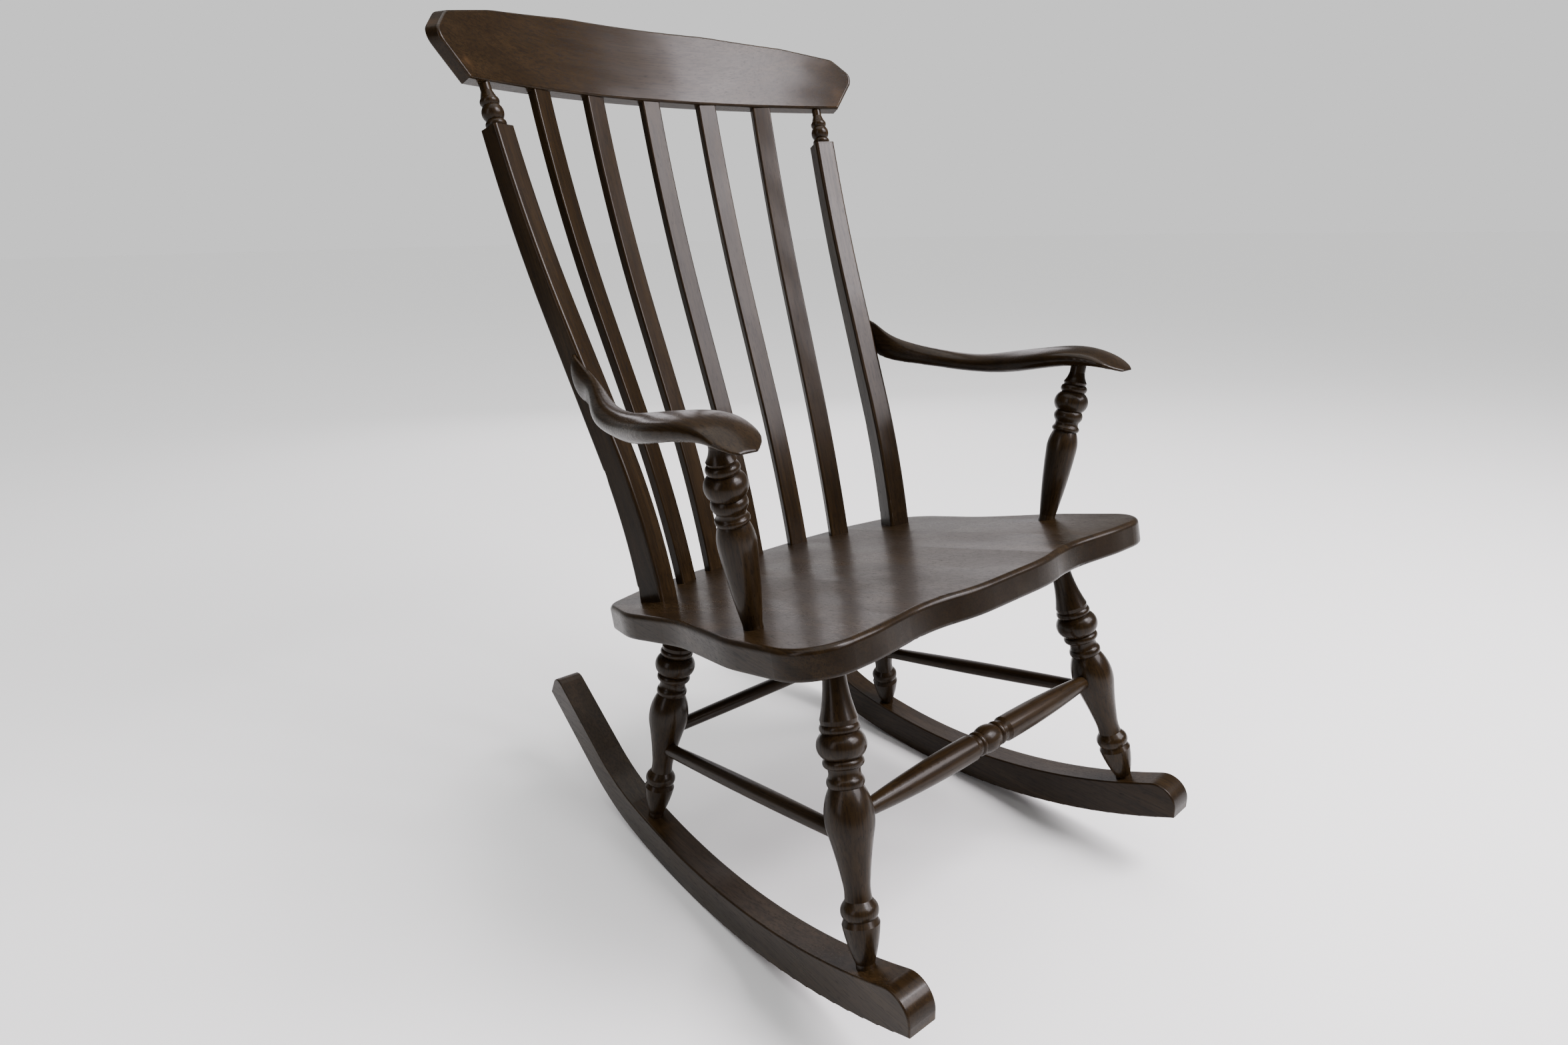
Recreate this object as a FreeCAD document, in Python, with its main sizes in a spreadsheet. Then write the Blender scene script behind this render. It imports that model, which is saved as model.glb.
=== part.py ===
import FreeCAD, Part
import math
import os
import re
import Sketcher
from FreeCAD import Placement, Rotation, Vector

# Rocking chair with a slat back, in millimetres.
# +Z is up and the chair faces -Y, so +X is the sitter's left.
# The origin is the point on the floor midway between the rockers where they touch it.

SIZES = {
    # Fit of every glued joint
    "glue_gap": 0.1,
    "cutter_overrun": 16,
    # Seat plank, measured on its sloping top
    "seat_height": 386.7,
    "seat_middle_ahead": 16,
    "seat_slope": 13.23,
    "seat_thickness": 31,
    "seat_top_round": 6,
    "seat_under_round": 4,
    "seat_front_reach": 281,
    "seat_swell_x": 62,
    "seat_swell_round": 170,
    "seat_hollow_x": 118,
    "seat_hollow_reach": 265,
    "seat_hollow_round": 150,
    "seat_lobe_x": 200,
    "seat_lobe_reach": 278.5,
    "seat_lobe_round": 140,
    "seat_corner_x": 286,
    "seat_corner_reach": 280,
    "seat_corner_round": 52,
    "seat_side_x": 285,
    "seat_side_reach": 150,
    "seat_side_round": 190,
    "seat_waist_x": 262,
    "seat_waist_reach": 28,
    "seat_waist_round": 220,
    "seat_flank_x": 268,
    "seat_flank_back": 75,
    "seat_flank_round": 120,
    "seat_rear_corner_x": 249,
    "seat_rear_corner_back": 150,
    "seat_rear_corner_round": 34,
    "seat_rear_bend_x": 190,
    "seat_rear_bend_back": 176,
    "seat_rear_bend_round": 90,
    "seat_rear_x": 100,
    "seat_rear_back": 189,
    "seat_rear_round": 300,
    # Rockers
    "rocker_width": 36,
    "rocker_depth": 45,
    "rocker_radius": 863,
    "rocker_spread": 225.4,
    "rocker_toe_out": 2,
    "rocker_front_angle": 26.79,
    "rocker_nose_angle": 25.64,
    "rocker_tail_start": 9.2,
    "rocker_tail_radius": 302,
    "rocker_tail_angle": 31,
    "rocker_tail_length": 144.5,
    "rocker_tail_round": 20,
    "rocker_edge_round": 2,
    # Legs, with heights along the leg from the top of the rocker
    "front_leg_foot_ahead": 312,
    "front_leg_seat_x": 190.5,
    "front_leg_seat_ahead": 196,
    "rear_leg_foot_back": 96,
    "rear_leg_seat_x": 172,
    "rear_leg_seat_back": 108,
    "leg_foot_radius": 9.7,
    "leg_foot_height": 4,
    "leg_foot_tenon": 20,
    "leg_cone_height": 42.5,
    "leg_cone_radius": 19.3,
    "leg_cone_swell": 1.2,
    "leg_groove_radius": 16.7,
    "leg_low_ring_start": 48,
    "leg_low_ring_end": 62,
    "leg_low_ring_swell": 2.6,
    "leg_neck_start": 66,
    "leg_neck_radius": 13.8,
    "leg_neck_end": 86,
    "leg_vase_start_radius": 14.6,
    "leg_neck_hollow": 0.8,
    "leg_vase_belly_height": 132,
    "leg_vase_belly_radius": 23.6,
    "leg_vase_rise": -0.6,
    "leg_vase_end": 176,
    "leg_vase_end_radius": 17.6,
    "leg_vase_swell": 4.2,
    "leg_ring_radius": 17.3,
    "leg_third_ring_end": 186,
    "leg_third_ring_swell": 1.9,
    "leg_cove_end": 195,
    "leg_cove_depth": 1,
    "leg_second_ring_end": 204.5,
    "leg_second_ring_swell": 3,
    "leg_ball_radius": 18.9,
    "leg_ball_end": 230,
    "leg_ball_swell": 6.6,
    "leg_first_ring_end": 238.5,
    "leg_first_ring_swell": 1.8,
    "leg_lip_radius": 19.4,
    "leg_lip_height": 243,
    "leg_seat_radius": 12,
    "leg_seat_neck": 14,
    "leg_seat_hollow": 2.4,
    "leg_seat_tenon": 20,
    # Stretchers
    "stretcher_radius": 8.6,
    "stretcher_inset": 9,
    "stretcher_end": 18,
    "side_stretcher_front_height": 124.5,
    "side_stretcher_rear_height": 98.7,
    "side_stretcher_swell": 1.4,
    "rear_stretcher_height": 123,
    "rear_stretcher_swell": 1.2,
    "front_stretcher_height": 143.7,
    "front_stretcher_shoulder": 30,
    "front_stretcher_shoulder_radius": 14.6,
    "front_stretcher_taper_swell": 2,
    "front_stretcher_cove_radius": 12.2,
    "front_stretcher_cove_edge": 25,
    "front_stretcher_bead_start": 20.5,
    "front_stretcher_bead_end": 13.5,
    "front_stretcher_bead_swell": 1.8,
    "front_stretcher_ball_swell": 3.6,
    # Turned arm posts, with heights along the post from the seat
    "arm_post_seat_x": 245.8,
    "arm_post_seat_ahead": 149.9,
    "arm_post_lean_out": 10.84,
    "arm_post_lean_ahead": 1.54,
    "arm_post_length": 201.5,
    "arm_post_tenon": 18,
    "arm_post_arm_tenon": 14,
    "arm_post_foot_radius": 10.2,
    "arm_post_foot_height": 6,
    "arm_post_belly_height": 92,
    "arm_post_belly_radius": 19,
    "arm_post_taper_swell": 1,
    "arm_post_vase_end": 117,
    "arm_post_vase_end_radius": 14.6,
    "arm_post_vase_swell": 1.6,
    "arm_post_third_ring_end": 124,
    "arm_post_third_ring_swell": 2,
    "arm_post_cove_end": 131,
    "arm_post_cove_depth": 1.2,
    "arm_post_ring_radius": 15.5,
    "arm_post_second_ring_end": 143.5,
    "arm_post_second_ring_swell": 2.4,
    "arm_post_ball_end": 167.7,
    "arm_post_ball_end_radius": 14.1,
    "arm_post_ball_swell": 6.2,
    "arm_post_first_ring_end": 177.4,
    "arm_post_first_ring_swell": 2.7,
    "arm_post_groove_radius": 13.2,
    "arm_post_lip_height": 180.5,
    "arm_post_lip_radius": 14.5,
    "arm_post_neck_height": 193,
    "arm_post_neck_radius": 9.5,
    "arm_post_neck_hollow": 0.8,
    # Back posts, bent in one plane, and their turned tops
    "post_foot_x": 208.4,
    "post_foot_back": 92.5,
    "post_shoulder_x": 255.5,
    "post_shoulder_back": 282.6,
    "post_shoulder_height": 905,
    "post_turn": 19,
    "post_width": 30,
    "post_foot_depth": 37,
    "post_low_depth": 34,
    "post_high_depth": 31,
    "post_shoulder_depth": 27,
    "post_low_knot": 188,
    "post_low_bow": -11,
    "post_high_knot": 360,
    "post_high_bow": 0,
    "post_edge_round": 4,
    "post_tenon_radius": 10,
    "post_tenon_length": 24,
    "post_lower_ring_radius": 9.5,
    "post_lower_ring_start": 3,
    "post_lower_ring_swell": 3,
    "post_lower_ring_end": 12,
    "post_ball_end": 29,
    "post_ball_swell": 3.6,
    "post_upper_ring_end": 38,
    "post_upper_ring_swell": 2,
    "post_neck_radius": 6.6,
    "post_neck_start": 46,
    "post_top_height": 54,
    "post_crest_tenon": 24,
    # Back slats
    "slat_width": 28,
    "slat_depth": 13,
    "slat_edge_round": 2.5,
    "slat_tenon": 18,
    "slat_low_knot": 213,
    "slat_low_bow": -3.6,
    "slat_high_knot": 355,
    "slat_high_bow": 4.4,
    "middle_slat_foot_back": 173.6,
    "inner_slat_foot_x": 75,
    "inner_slat_foot_back": 164.2,
    "inner_slat_top_x": 90.3,
    "inner_slat_turn": 11.5,
    "outer_slat_foot_x": 136.8,
    "outer_slat_foot_back": 140.6,
    "outer_slat_top_x": 175.7,
    "outer_slat_turn": 20,
    # Crest rail, bent about an upright axis in front of it
    "crest_radius": 600,
    "crest_lean": 21,
    "crest_thickness": 19,
    "crest_height": 103,
    "crest_sweep": 64,
    "crest_near_share": 0.75,
    "crest_far_share": 1.15,
    "crest_foot_round": 2,
    "crest_edge_round": 3,
    "crest_foot_x": 273,
    "crest_foot_drop": 16,
    "crest_ear_x": 307.5,
    "crest_ear_height": 47,
    "crest_ear_round": 14,
    "crest_brow_x": 281,
    "crest_brow_height": 73,
    "crest_brow_round": 26,
    "crest_shoulder_x": 215,
    "crest_shoulder_height": 87,
    "crest_shoulder_round": 220,
    "crest_top_x": 105,
    "crest_top_height": 96.4,
    "crest_top_round": 500,
    # Arms: each station has its place along Y, its inner and outer edges, and its underside and top above seat_height
    "arm_edge_share": 0.35,
    "arm_crown_share": 0.33,
    "arm_heel_y": 170,
    "arm_heel_inner": 235,
    "arm_heel_outer": 249,
    "arm_heel_under": 235.3,
    "arm_heel_top": 271.3,
    "arm_rise_y": 134,
    "arm_rise_inner": 238,
    "arm_rise_outer": 254,
    "arm_rise_under": 217.3,
    "arm_rise_top": 254.3,
    "arm_neck_y": 94,
    "arm_neck_inner": 243,
    "arm_neck_outer": 269,
    "arm_neck_under": 213.3,
    "arm_neck_top": 241.3,
    "arm_waist_y": 44,
    "arm_waist_inner": 257,
    "arm_waist_outer": 291,
    "arm_waist_under": 210.3,
    "arm_waist_top": 233.3,
    "arm_middle_y": -11,
    "arm_middle_inner": 262,
    "arm_middle_outer": 304.5,
    "arm_middle_under": 209.8,
    "arm_middle_top": 232.3,
    "arm_swell_y": -66,
    "arm_swell_inner": 260,
    "arm_swell_outer": 318,
    "arm_swell_under": 214.3,
    "arm_swell_top": 241.3,
    "arm_pad_y": -116,
    "arm_pad_inner": 252.5,
    "arm_pad_outer": 327.5,
    "arm_pad_under": 224.3,
    "arm_pad_top": 250.3,
    "arm_palm_y": -161,
    "arm_palm_inner": 255.5,
    "arm_palm_outer": 325,
    "arm_palm_under": 233.3,
    "arm_palm_top": 255.8,
    "arm_curl_y": -198,
    "arm_curl_inner": 263,
    "arm_curl_outer": 320,
    "arm_curl_under": 235.8,
    "arm_curl_top": 249.3,
    "arm_nose_y": -228,
    "arm_nose_inner": 274,
    "arm_nose_outer": 317,
    "arm_nose_under": 229.8,
    "arm_nose_top": 233.8,
}

ARM_STATIONS = ["heel", "rise", "neck", "waist", "middle", "swell", "pad", "palm", "curl", "nose"]

UP = Vector(0, 0, 1)
# An edge this many times longer than the piece is thick runs along the piece
CLEARLY_LONGER = 1.2

os.makedirs("parts", exist_ok=True)
doc = FreeCAD.newDocument("rocking_chair")
sheet = doc.addObject("Spreadsheet::Sheet", "Sizes")


def fill_sheet(values):
    first = sheet_rows[0]
    for row, (alias, value) in enumerate(values.items(), start=first):
        sheet.set(f"A{row}", alias)
        sheet.set(f"B{row}", str(value))
        sheet.setAlias(f"B{row}", alias)
    sheet_rows[0] = first + len(values)
    doc.recompute()


sheet_rows = [1]
fill_sheet(SIZES)


def bound(text):
    """Expression in which each name of a size points at its cell."""
    return re.sub(r"[a-z]+(_[a-z]+)+", r"Sizes.\g<0>", text)


def number(text):
    value = sheet.evalExpression(bound(text))
    return float(getattr(value, "Value", value))


def bind(owner, prop, text):
    owner.setExpression(prop, bound(text))


# Sketch helpers


def new_body(name):
    body = doc.addObject("PartDesign::Body", name)
    body.Label = name
    return body


def new_sketch(body, name, role):
    sketch = body.newObject("Sketcher::SketchObject", name)
    plane = [feature for feature in body.Origin.OriginFeatures if feature.Role == role][0]
    sketch.AttachmentSupport = [(plane, "")]
    sketch.MapMode = "FlatFace"
    return sketch


def fix(sketch, kind, geometry, place, text):
    """Holds one coordinate of a point to an expression."""
    value = number(text)
    index = sketch.addConstraint(Sketcher.Constraint(kind, -1, 1, geometry, place, value))
    bind(sketch, f"Constraints[{index}]", text)


def fix_point(sketch, geometry, place, corner):
    fix(sketch, "DistanceX", geometry, place, corner[0])
    fix(sketch, "DistanceY", geometry, place, corner[1])


def fix_radius(sketch, geometry, text):
    index = sketch.addConstraint(Sketcher.Constraint("Radius", geometry, number(text)))
    bind(sketch, f"Constraints[{index}]", text)


def heading(vector):
    return math.atan2(vector.y, vector.x)


def arc_between(start, end, radius, leftward):
    """Minor arc from start to end; it turns left where leftward is true."""
    chord = end - start
    half = chord.Length / 2
    left = Vector(-chord.y, chord.x, 0).normalize()
    side = 1 if leftward else -1
    centre = (start + end) / 2 + left * (side * math.sqrt(max(radius**2 - half**2, 0)))
    first, last = (start, end) if leftward else (end, start)
    circle = Part.Circle(centre, UP, radius)
    return Part.ArcOfCircle(circle, heading(first - centre), heading(last - centre))


def draw(sketch, corners, bends):
    """Closed outline through the corners. A bend is None for a straight side, or the kind
    and size of an arc: its rise over the chord to the right, or the angle it turns left."""
    count = len(corners)
    points = [Vector(number(x), number(y), 0) for x, y in corners]
    sides = []
    for index, bend in enumerate(bends):
        start = points[index]
        end = points[(index + 1) % count]
        if bend is None:
            sides.append((sketch.addGeometry(Part.LineSegment(start, end)), 1, 2))
            continue
        kind, text = bend
        x_start, y_start = corners[index]
        x_end, y_end = corners[(index + 1) % count]
        chord = f"sqrt((({x_end})-({x_start}))^2+(({y_end})-({y_start}))^2)"
        if kind == "rise":
            radius = f"{chord}^2/(8*abs({text}))+abs({text})/2"
        else:
            radius = f"{chord}/(2*sin(abs({text})/2))"
        leftward = number(text) > 0
        arc = sketch.addGeometry(arc_between(start, end, number(radius), leftward))
        fix_radius(sketch, arc, radius)
        sides.append((arc, 1, 2) if leftward else (arc, 2, 1))
    for index, (side, start, end) in enumerate(sides):
        following = sides[(index + 1) % count]
        sketch.addConstraint(Sketcher.Constraint("Coincident", side, end, following[0], following[1]))
        fix_point(sketch, side, start, corners[index])


def draw_rounded(sketch, corners):
    """Closed polygon whose corners, each an X, a Y and a radius, are rounded by tangent arcs."""
    count = len(corners)
    points = [Vector(number(x), number(y), 0) for x, y, radius in corners]
    radii = [number(radius) for x, y, radius in corners]
    cuts = []
    for index, point in enumerate(points):
        before = (points[index - 1] - point).normalize()
        after = (points[(index + 1) % count] - point).normalize()
        reach = radii[index] / math.tan(before.getAngle(after) / 2)
        cuts.append((point + before * reach, point + after * reach, before.cross(after).z < 0))
    lines = []
    for index in range(count):
        line = Part.LineSegment(cuts[index][1], cuts[(index + 1) % count][0])
        lines.append(sketch.addGeometry(line))
    for index, (arrive, leave, leftward) in enumerate(cuts):
        arc = sketch.addGeometry(arc_between(arrive, leave, radii[index], leftward))
        first, last = (1, 2) if leftward else (2, 1)
        corner = sketch.addGeometry(Part.Point(points[index]), True)
        sketch.addConstraint(Sketcher.Constraint("Tangent", lines[index - 1], 2, arc, first))
        sketch.addConstraint(Sketcher.Constraint("Tangent", arc, last, lines[index], 1))
        sketch.addConstraint(Sketcher.Constraint("PointOnObject", corner, 1, lines[index - 1]))
        sketch.addConstraint(Sketcher.Constraint("PointOnObject", corner, 1, lines[index]))
        fix_point(sketch, corner, 1, corners[index][:2])
        fix_radius(sketch, arc, corners[index][2])


def pad(body, sketch, length, symmetric=False, reverse=False):
    feature = body.newObject("PartDesign::Pad", sketch.Name + "_pad")
    feature.Profile = sketch
    feature.Reversed = reverse
    if symmetric:
        feature.SideType = "Symmetric"
    bind(feature, "Length", length)
    return feature


def round_edges(body, feature, names, radius):
    fillet = body.newObject("PartDesign::Fillet", feature.Name + "_round")
    fillet.Base = (feature, names)
    fillet.Refine = False
    bind(fillet, "Radius", radius)
    return fillet


def edges_of(feature, chosen):
    doc.recompute()
    return [f"Edge{index}" for index, edge in enumerate(feature.Shape.Edges, start=1) if chosen(edge)]


def rounded(name, base, chosen, radius):
    """The base with its chosen edges rounded."""
    doc.recompute()
    fillet = doc.addObject("Part::Fillet", name)
    fillet.Base = base
    size = number(radius)
    edges = enumerate(base.Shape.Edges, start=1)
    fillet.Edges = [(index, size, size) for index, edge in edges if chosen(edge)]
    return fillet


def turned(name, rows):
    """Turning about its own Z axis. A row is a height, a radius and the rise of the arc
    that leads to the next row, None where the surface is straight."""
    body = new_body(name)
    sketch = new_sketch(body, name + "_profile", "XZ_Plane")
    revolve_rows(body, sketch, rows)
    return body


def revolve_rows(body, sketch, rows):
    corners = [("0", rows[0][0])]
    bends = [None]
    for height, radius, rise in rows:
        corners.append((radius, height))
        bends.append(None if rise is None else ("rise", rise))
    corners.append(("0", rows[-1][0]))
    bends.append(None)
    draw(sketch, corners, bends)
    revolution = body.newObject("PartDesign::Revolution", sketch.Name + "_turn")
    revolution.Profile = sketch
    revolution.ReferenceAxis = (sketch, ["V_Axis"])
    revolution.Angle = 360
    return revolution


# Placing and joining helpers


def along(point, direction):
    """Frame at a point with its Z axis along a direction."""
    return Placement(point, Rotation(UP, direction))


def shifted(place, height):
    return place.multiply(Placement(Vector(0, 0, height), Rotation()))


def round_cutter(name, place, radius, length):
    cutter = doc.addObject("Part::Cylinder", name)
    bind(cutter, "Radius", f"{radius}+glue_gap")
    bind(cutter, "Height", length)
    cutter.Placement = place
    return cutter


def mortised(name, blank, place, cutters):
    """The blank with its mortises cut, set in its place; cutters stand in the chair's frame."""
    blank.Label = name + " blank"
    back = place.inverse()
    for cutter in cutters:
        cutter.Placement = back.multiply(cutter.Placement)
    cut = doc.addObject("Part::Cut", name)
    cut.Label = name
    cut.Base = blank
    if len(cutters) == 1:
        cut.Tool = cutters[0]
    else:
        tools = doc.addObject("Part::MultiFuse", name + "_mortises")
        tools.Shapes = cutters
        cut.Tool = tools
    cut.Placement = place
    return cut


def mirrored(name, source):
    """The same piece on the sitter's right."""
    twin = doc.addObject("Part::Mirroring", name)
    twin.Label = name
    twin.Source = source
    twin.Normal = Vector(1, 0, 0)
    return twin


pieces = []


def keep(*objects):
    pieces.extend(objects)


def keep_pair(name, left):
    keep(left, mirrored(name + "_right", left))


# Frames that several pieces share

seat_place = Placement(
    Vector(0, -number("seat_middle_ahead"), number("seat_height")),
    Rotation(Vector(1, 0, 0), -number("seat_slope")),
)
rocker_place = Placement(Vector(number("rocker_spread"), 0, 0), Rotation(UP, number("rocker_toe_out")))


def on_seat(x, back, drop="0"):
    """Point on the seat's top, or a drop below it, in the chair's frame."""
    return seat_place.multVec(Vector(number(x), number(back), -number(drop)))


def on_rocker(y):
    """Point on the middle of the left rocker's top, at the chair's Y."""
    run = y / math.cos(math.radians(number("rocker_toe_out")))
    radius = number("rocker_radius")
    inner = radius - number("rocker_depth")
    return rocker_place.multVec(Vector(0, run, radius - math.sqrt(inner**2 - run**2)))


def leg_frame(foot, top):
    return along(foot, top - foot), (top - foot).Length


front_leg_place, front_leg_length = leg_frame(
    on_rocker(-number("front_leg_foot_ahead")),
    on_seat("front_leg_seat_x", "-front_leg_seat_ahead", "seat_thickness"),
)
rear_leg_place, rear_leg_length = leg_frame(
    on_rocker(number("rear_leg_foot_back")),
    on_seat("rear_leg_seat_x", "rear_leg_seat_back", "seat_thickness"),
)

arm_post_direction = Vector(
    math.tan(math.radians(number("arm_post_lean_out"))),
    -math.tan(math.radians(number("arm_post_lean_ahead"))),
    1,
)
arm_post_place = along(on_seat("arm_post_seat_x", "-arm_post_seat_ahead"), arm_post_direction)


def mirror_point(point):
    return Vector(-point.x, point.y, point.z)


def stretcher_frame(start, end):
    """Frame at the stretcher's first end, inset from the first leg's axis, and its length."""
    direction = (end - start).normalize()
    inset = number("stretcher_inset")
    return along(start + direction * inset, direction), (end - start).Length - 2 * inset


def on_leg(place, height):
    return place.multVec(Vector(0, 0, number(height)))


side_stretcher_place, side_stretcher_length = stretcher_frame(
    on_leg(rear_leg_place, "side_stretcher_rear_height"),
    on_leg(front_leg_place, "side_stretcher_front_height"),
)
rear_stretcher_end = on_leg(rear_leg_place, "rear_stretcher_height")
rear_stretcher_place, rear_stretcher_length = stretcher_frame(
    mirror_point(rear_stretcher_end), rear_stretcher_end
)
front_stretcher_end = on_leg(front_leg_place, "front_stretcher_height")
front_stretcher_place, front_stretcher_length = stretcher_frame(
    mirror_point(front_stretcher_end), front_stretcher_end
)


def bent_frame(foot, top, turn):
    """Frame of a bent upright: Z runs from its foot to its top, Y to the rear, X across."""
    chord = top - foot
    angle = math.radians(turn)
    rise = Vector(chord).normalize()
    across = Vector(math.cos(angle), -math.sin(angle), 0)
    across = (across - rise * across.dot(rise)).normalize()
    return Placement(foot, Rotation(across, rise.cross(across), rise, "ZXY")), chord.Length


def bend_leans(low_knot, low_bow, high_knot, high_bow, length):
    """Leans in degrees at the foot, the straight run and the top of a tangent arc, line and arc."""
    run = math.degrees(math.atan2(high_bow - low_bow, high_knot - low_knot))
    foot = 2 * math.degrees(math.atan2(low_bow, low_knot)) - run
    top = 2 * math.degrees(math.atan2(-high_bow, length - high_knot)) - run
    return foot, run, top


post_foot = on_seat("post_foot_x", "post_foot_back")
post_shoulder = Vector(
    number("post_shoulder_x"), number("post_shoulder_back"), number("post_shoulder_height")
)
post_place, post_length = bent_frame(post_foot, post_shoulder, number("post_turn"))
post_leans = bend_leans(
    number("post_low_knot"),
    number("post_low_bow"),
    number("post_high_knot"),
    number("post_high_bow"),
    post_length,
)


def leaning(place, height, lean):
    """Frame on a bent upright at a height of its chord, with Z along its lean there."""
    return place.multiply(Placement(Vector(0, 0, height), Rotation(Vector(1, 0, 0), -lean)))


post_foot_place = leaning(post_place, 0, post_leans[0])
post_top_place = leaning(post_place, post_length, post_leans[2])

# The crest rail's bend passes through the heads of the back posts, at mid thickness
crest_seat = post_top_place.multVec(Vector(0, 0, number("post_top_height")))
crest_middle = number("crest_radius+crest_thickness/2*cos(crest_lean)")
crest_place = Placement(
    Vector(0, crest_seat.y - math.sqrt(crest_middle**2 - crest_seat.x**2), crest_seat.z), Rotation()
)


def on_crest(x):
    """Point on the middle of the crest rail's underside at a distance from the chair's middle."""
    return crest_place.multVec(Vector(x, math.sqrt(crest_middle**2 - x**2), 0))


slat_frames = {}
for kind, foot_x, foot_back, top_x, turn in (
    ("middle", "0", "middle_slat_foot_back", "0", "0"),
    ("inner", "inner_slat_foot_x", "inner_slat_foot_back", "inner_slat_top_x", "inner_slat_turn"),
    ("outer", "outer_slat_foot_x", "outer_slat_foot_back", "outer_slat_top_x", "outer_slat_turn"),
):
    frame, length = bent_frame(on_seat(foot_x, foot_back), on_crest(number(top_x)), number(turn))
    leans = bend_leans(
        number("slat_low_knot"),
        number("slat_low_bow"),
        number("slat_high_knot"),
        number("slat_high_bow"),
        length,
    )
    slat_frames[kind] = (frame, length, leans)

# Lengths and leans that follow from the places above join the sheet

derived = {
    "front_leg_length": front_leg_length,
    "rear_leg_length": rear_leg_length,
    "side_stretcher_length": side_stretcher_length,
    "rear_stretcher_length": rear_stretcher_length,
    "front_stretcher_length": front_stretcher_length,
    "crest_middle_radius": crest_middle,
}
for kind, length, leans in [("post", post_length, post_leans)] + [
    (kind + "_slat", length, leans) for kind, (frame, length, leans) in slat_frames.items()
]:
    derived[kind + "_length"] = length
    derived[kind + "_foot_lean"] = leans[0]
    derived[kind + "_run_lean"] = leans[1]
    derived[kind + "_top_lean"] = leans[2]
fill_sheet(derived)


# Seat


def seat_outline():
    """Half of the plank from the front swell round to the rear edge, then its mirror image."""
    half = [
        ("seat_swell_x", "-seat_front_reach", "seat_swell_round"),
        ("seat_hollow_x", "-seat_hollow_reach", "seat_hollow_round"),
        ("seat_lobe_x", "-seat_lobe_reach", "seat_lobe_round"),
        ("seat_corner_x", "-seat_corner_reach", "seat_corner_round"),
        ("seat_side_x", "-seat_side_reach", "seat_side_round"),
        ("seat_waist_x", "-seat_waist_reach", "seat_waist_round"),
        ("seat_flank_x", "seat_flank_back", "seat_flank_round"),
        ("seat_rear_corner_x", "seat_rear_corner_back", "seat_rear_corner_round"),
        ("seat_rear_bend_x", "seat_rear_bend_back", "seat_rear_bend_round"),
        ("seat_rear_x", "seat_rear_back", "seat_rear_round"),
    ]
    return half + [("-" + x, y, radius) for x, y, radius in reversed(half)]


def upright_cutters(tag, mirror_x):
    """Tools for the seat's mortises on one side: leg, arm post and back post."""
    tools = [
        round_cutter(
            f"front_leg_seat_cutter_{tag}",
            shifted(front_leg_place, front_leg_length - number("cutter_overrun")),
            "leg_seat_radius",
            "cutter_overrun+leg_seat_tenon",
        ),
        round_cutter(
            f"rear_leg_seat_cutter_{tag}",
            shifted(rear_leg_place, rear_leg_length - number("cutter_overrun")),
            "leg_seat_radius",
            "cutter_overrun+leg_seat_tenon",
        ),
        round_cutter(
            f"arm_post_seat_cutter_{tag}",
            shifted(arm_post_place, -number("arm_post_tenon")),
            "arm_post_foot_radius",
            "arm_post_tenon+cutter_overrun",
        ),
        round_cutter(
            f"post_seat_cutter_{tag}",
            shifted(post_foot_place, -number("post_tenon_length")),
            "post_tenon_radius",
            "post_tenon_length+cutter_overrun",
        ),
    ]
    if mirror_x:
        for tool in tools:
            axis = tool.Placement.Rotation.multVec(UP)
            tool.Placement = along(
                mirror_point(tool.Placement.Base), Vector(-axis.x, axis.y, axis.z)
            )
    return tools


def slat_cutter(name, place, mirror_x):
    """Box round a slat's tenon; place is the tenon's end with Z out of the mortise."""
    cutter = doc.addObject("Part::Box", name)
    bind(cutter, "Length", "slat_width+2*glue_gap")
    bind(cutter, "Width", "slat_depth+2*glue_gap")
    bind(cutter, "Height", "slat_tenon+cutter_overrun")
    corner = Vector(-number("slat_width/2+glue_gap"), -number("slat_depth/2+glue_gap"), 0)
    if mirror_x:
        place = mirror_frame(place)
    cutter.Placement = place.multiply(Placement(corner, Rotation()))
    return cutter


def mirror_frame(place):
    """Frame seen in the chair's middle plane, with its X axis turned so that it stays right-handed."""
    x_axis = place.Rotation.multVec(Vector(1, 0, 0))
    z_axis = place.Rotation.multVec(UP)
    x_axis = Vector(x_axis.x, -x_axis.y, -x_axis.z)
    z_axis = Vector(-z_axis.x, z_axis.y, z_axis.z)
    turned_frame = Rotation(x_axis, z_axis.cross(x_axis), z_axis, "ZXY")
    return Placement(mirror_point(place.Base), turned_frame)


def slat_foot_place(kind):
    frame, length, leans = slat_frames[kind]
    return shifted(leaning(frame, 0, leans[0]), -number("slat_tenon"))


def slat_head_place(kind):
    """At the head's end, turned over so that Z points out of the crest rail."""
    frame, length, leans = slat_frames[kind]
    place = shifted(leaning(frame, length, leans[2]), number("slat_tenon"))
    return place.multiply(Placement(Vector(), Rotation(Vector(0, 1, 0), 180)))


def slat_cutters(tag, placer):
    tools = [slat_cutter(f"middle_slat_{tag}_cutter", placer("middle"), False)]
    for kind in ("inner", "outer"):
        for side, mirror_x in (("left", False), ("right", True)):
            tools.append(slat_cutter(f"{kind}_slat_{tag}_cutter_{side}", placer(kind), mirror_x))
    return tools


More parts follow.
